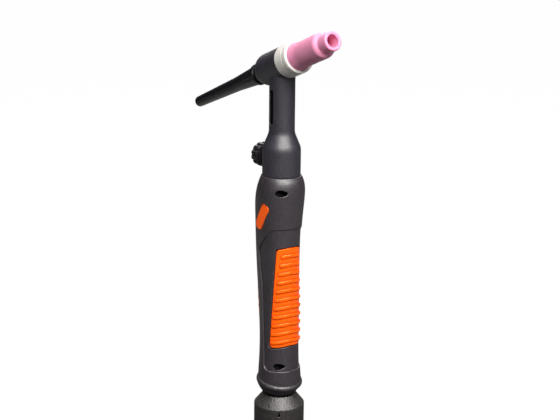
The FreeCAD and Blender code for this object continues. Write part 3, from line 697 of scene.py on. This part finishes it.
class TORCH_OT_dress_gasket(bpy.types.Operator):
    """Puts waxy white plastic on the cup gasket."""

    bl_idname = "torch.dress_gasket"
    bl_label = "Cup gasket"

    def execute(self, context):
        sizes = context.scene.torch_finishes
        dress(waxy("gasket_white", sizes.gasket_colour, GASKET_ROUGHNESS), "cup_gasket")
        return {"FINISHED"}


class TORCH_OT_dress_back_cap(bpy.types.Operator):
    """Puts semi-gloss black plastic on the long back cap."""

    bl_idname = "torch.dress_back_cap"
    bl_label = "Back cap"

    def execute(self, context):
        sizes = context.scene.torch_finishes
        dress(glossy("cap_plastic", sizes.cap_colour, sizes.cap_roughness), "back_cap")
        return {"FINISHED"}


class TORCH_OT_dress_valve_knob(bpy.types.Operator):
    """Puts semi-gloss black plastic on the gas valve's knob."""

    bl_idname = "torch.dress_valve_knob"
    bl_label = "Valve knob"

    def execute(self, context):
        sizes = context.scene.torch_finishes
        dress(glossy("knob_plastic", sizes.knob_colour, sizes.knob_roughness), "valve_knob")
        return {"FINISHED"}


class TORCH_OT_dress_seals(bpy.types.Operator):
    """Puts greased black rubber on the two O-rings."""

    bl_idname = "torch.dress_seals"
    bl_label = "Seals"

    def execute(self, context):
        rubber = seal_rubber("seal_rubber", context.scene.torch_finishes.seal_colour, SEAL_ROUGHNESS)
        dress(rubber, "back_cap_o_ring", "valve_stem_o_ring")
        return {"FINISHED"}


class TORCH_OT_dress_turned_metal(bpy.types.Operator):
    """Puts turned brass and copper on the metal pieces of the head, neck, valve and handle."""

    bl_idname = "torch.dress_turned_metal"
    bl_label = "Turned metal"

    def execute(self, context):
        sizes = context.scene.torch_finishes
        for name, metal, roughness, axis, nodes in TURNED_METAL:
            dress(turned(name, getattr(sizes, f"{metal}_colour"), roughness, axis), *nodes)
        return {"FINISHED"}


class TORCH_OT_dress_fasteners(bpy.types.Operator):
    """Puts blackened steel on the screws, the valve stem and the swivel nut."""

    bl_idname = "torch.dress_fasteners"
    bl_label = "Screws and nut"

    def execute(self, context):
        sizes = context.scene.torch_finishes
        steel = blackened_steel("steel", sizes.steel_colour, STEEL_ROUGHNESS)
        dress(steel, "shell_screws", "knob_screw", "valve_stem", "swivel_nut")
        return {"FINISHED"}


class TORCH_OT_dress_ball_joint(bpy.types.Operator):
    """Puts black plastic on the ball joint, and slippery white on its liner."""

    bl_idname = "torch.dress_ball_joint"
    bl_label = "Ball joint"

    def execute(self, context):
        sizes = context.scene.torch_finishes
        grain = JOINT_GRAIN_SIZE * sizes.moulding_grain
        look = (sizes.joint_colour, sizes.joint_roughness, grain, JOINT_GRAIN_DEPTH)
        dress(moulded("joint_plastic", *look), "swivel_ball", "cable_collar")
        dress(moulded("housing_plastic", *look, index_mark), "joint_housing")
        dress(waxy("liner_white", sizes.liner_colour, LINER_ROUGHNESS), "swivel_liner")
        return {"FINISHED"}


def camera_axes(stage):
    """The camera's right, up and view directions."""
    turn, pitch, roll = stage.camera_turn, stage.camera_pitch, stage.camera_roll
    ahead = math.cos(pitch)
    view = Vector((-math.cos(turn) * ahead, math.sin(turn) * ahead, -math.sin(pitch)))
    level = Vector((math.sin(turn), math.cos(turn), 0))
    upright = level.cross(view)
    right = level * math.cos(roll) + upright * math.sin(roll)
    up = upright * math.cos(roll) - level * math.sin(roll)
    return right, up, view


def add_camera(stage):
    """A camera that sees the handle's top where the settings say."""
    right, up, view = camera_axes(stage)
    data = bpy.data.cameras.new("camera")
    data.sensor_width = SENSOR_WIDTH
    data.lens = stage.focal_length
    data.clip_start = CLIP_NEAR
    data.clip_end = CLIP_FAR
    camera = bpy.data.objects.new("camera", data)
    place = SHELL_TOP - view * stage.camera_distance
    place -= right * stage.camera_side + up * stage.camera_rise
    turn = Matrix((right, up, -view)).transposed().to_4x4()
    camera.matrix_world = Matrix.Translation(place) @ turn
    bpy.context.scene.collection.objects.link(camera)
    bpy.context.scene.camera = camera


def add_soft_light(name, place, aim, size, power):
    """A warm white, rectangular soft light at a place, facing a point."""
    data = bpy.data.lights.new(name, "AREA")
    data.shape = "RECTANGLE"
    data.size, data.size_y = size
    data.energy = power
    data.color = WARM_WHITE
    light = bpy.data.objects.new(name, data)
    light.location = place
    light.rotation_mode = "QUATERNION"
    light.rotation_quaternion = (aim - place).to_track_quat("-Z", "Y")
    light.visible_camera = False
    bpy.context.scene.collection.objects.link(light)


def add_lights(stage):
    """The soft lights round the torch, and a white card under its cap that faces up."""
    right, _, _ = camera_axes(stage)
    towards = Vector((math.cos(stage.camera_turn), -math.sin(stage.camera_turn), 0))
    up = Vector(UP)
    for name, (ahead, aside, above), size in SOFT_LIGHTS:
        place = LIGHT_AIM + towards * ahead + right * aside + up * above
        add_soft_light(f"{name}_light", place, LIGHT_AIM, size, getattr(stage, f"{name}_power"))
    add_soft_light("low_card", CARD_PLACE, CARD_PLACE + up, CARD_SIZE, stage.card_power)


def floor_material(stage):
    """A grey floor with a dark round mat, in which the camera sees the white backdrop."""
    finish = Finish("studio_floor")
    cloud = finish.noise(FLOOR_CLOUD, detail=2)
    plain = finish.tint(stage.floor_colour, cloud, factor=0.97)
    near = finish.below(finish.around((0, 0, 0), UP), stage.mat_radius)
    laid = finish.blend(near, plain, opaque(stage.mat_colour))
    seen = finish.backdrop(stage.gloss_whiteness)
    paint = finish.blend(seen, laid, FLOOR_SEEN)
    matt = finish.node("ShaderNodeBsdfDiffuse", {}, {"Color": paint})
    white = finish.node("ShaderNodeEmission", {}, {"Color": WHITE, "Strength": 1.0})
    return finish.show_mixed(seen * stage.floor_whiteness, matt, white)


def add_floor(stage):
    """A square floor just under the torch."""
    half = stage.floor_size / 2
    height = CAD_BOX[0].z - FLOOR_GAP
    corners = [(along * half, across * half, height) for along, across in FLOOR_SIDES]
    mesh = bpy.data.meshes.new("floor")
    mesh.from_pydata(corners, [], [(0, 1, 2, 3)])
    mesh.materials.append(floor_material(stage))
    floor = bpy.data.objects.new("floor", mesh)
    bpy.context.scene.collection.objects.link(floor)


def light_world(stage):
    """A dim room with lighter walls; the camera sees it white."""
    world = bpy.data.worlds.new("studio")
    bpy.context.scene.world = world
    room = Shading(world, "ShaderNodeOutputWorld")
    direction = room.node("ShaderNodeTexCoord", {}, {}, "Generated")
    height = room.node("ShaderNodeSeparateXYZ", {}, {0: direction}, "Z")
    walls = room.ramp(height, *WALL_STOPS)
    dim = room.node("ShaderNodeBackground", {}, {"Color": walls, "Strength": stage.room_light})
    white = room.node("ShaderNodeBackground", {}, {"Color": WHITE, "Strength": 1.0})
    room.show_mixed(room.backdrop(stage.gloss_whiteness), dim, white)


class TORCH_OT_set_stage(bpy.types.Operator):
    """Adds the floor, the room, the soft lights and the camera."""

    bl_idname = "torch.set_stage"
    bl_label = "Floor, lights and camera"

    def execute(self, context):
        stage = context.scene.torch_stage
        context.scene.view_settings.view_transform = "Standard"
        add_floor(stage)
        light_world(stage)
        add_lights(stage)
        add_camera(stage)
        return {"FINISHED"}


DRESSERS = (
    TORCH_OT_dress_neck_cover,
    TORCH_OT_dress_handle_shells,
    TORCH_OT_dress_grips,
    TORCH_OT_dress_badge,
    TORCH_OT_dress_nozzle,
    TORCH_OT_dress_gasket,
    TORCH_OT_dress_back_cap,
    TORCH_OT_dress_valve_knob,
    TORCH_OT_dress_seals,
    TORCH_OT_dress_turned_metal,
    TORCH_OT_dress_fasteners,
    TORCH_OT_dress_ball_joint,
    TORCH_OT_set_stage,
)


class TORCH_PT_dressing(bpy.types.Panel):
    """Lists the torch's finishes and stage, and their settings."""

    bl_idname = "TORCH_PT_dressing"
    bl_label = "TIG torch"
    bl_space_type = "VIEW_3D"
    bl_region_type = "UI"
    bl_category = "Torch"

    def draw(self, context):
        layout = self.layout
        for dresser in DRESSERS:
            layout.operator(dresser.bl_idname)
        for group in (context.scene.torch_finishes, context.scene.torch_stage):
            column = layout.column()
            for name in group.__annotations__:
                column.prop(group, name)


CLASSES = (TorchFinishSettings, TorchStageSettings, *DRESSERS, TORCH_PT_dressing)


def register():
    for made in CLASSES:
        bpy.utils.register_class(made)
    bpy.types.Scene.torch_finishes = PointerProperty(type=TorchFinishSettings)
    bpy.types.Scene.torch_stage = PointerProperty(type=TorchStageSettings)


def unregister():
    del bpy.types.Scene.torch_stage
    del bpy.types.Scene.torch_finishes
    for made in reversed(CLASSES):
        bpy.utils.unregister_class(made)


def main():
    register()
    for dresser in DRESSERS:
        group, name = dresser.bl_idname.split(".")
        getattr(getattr(bpy.ops, group), name)()


if __name__ == "__main__":
    main()
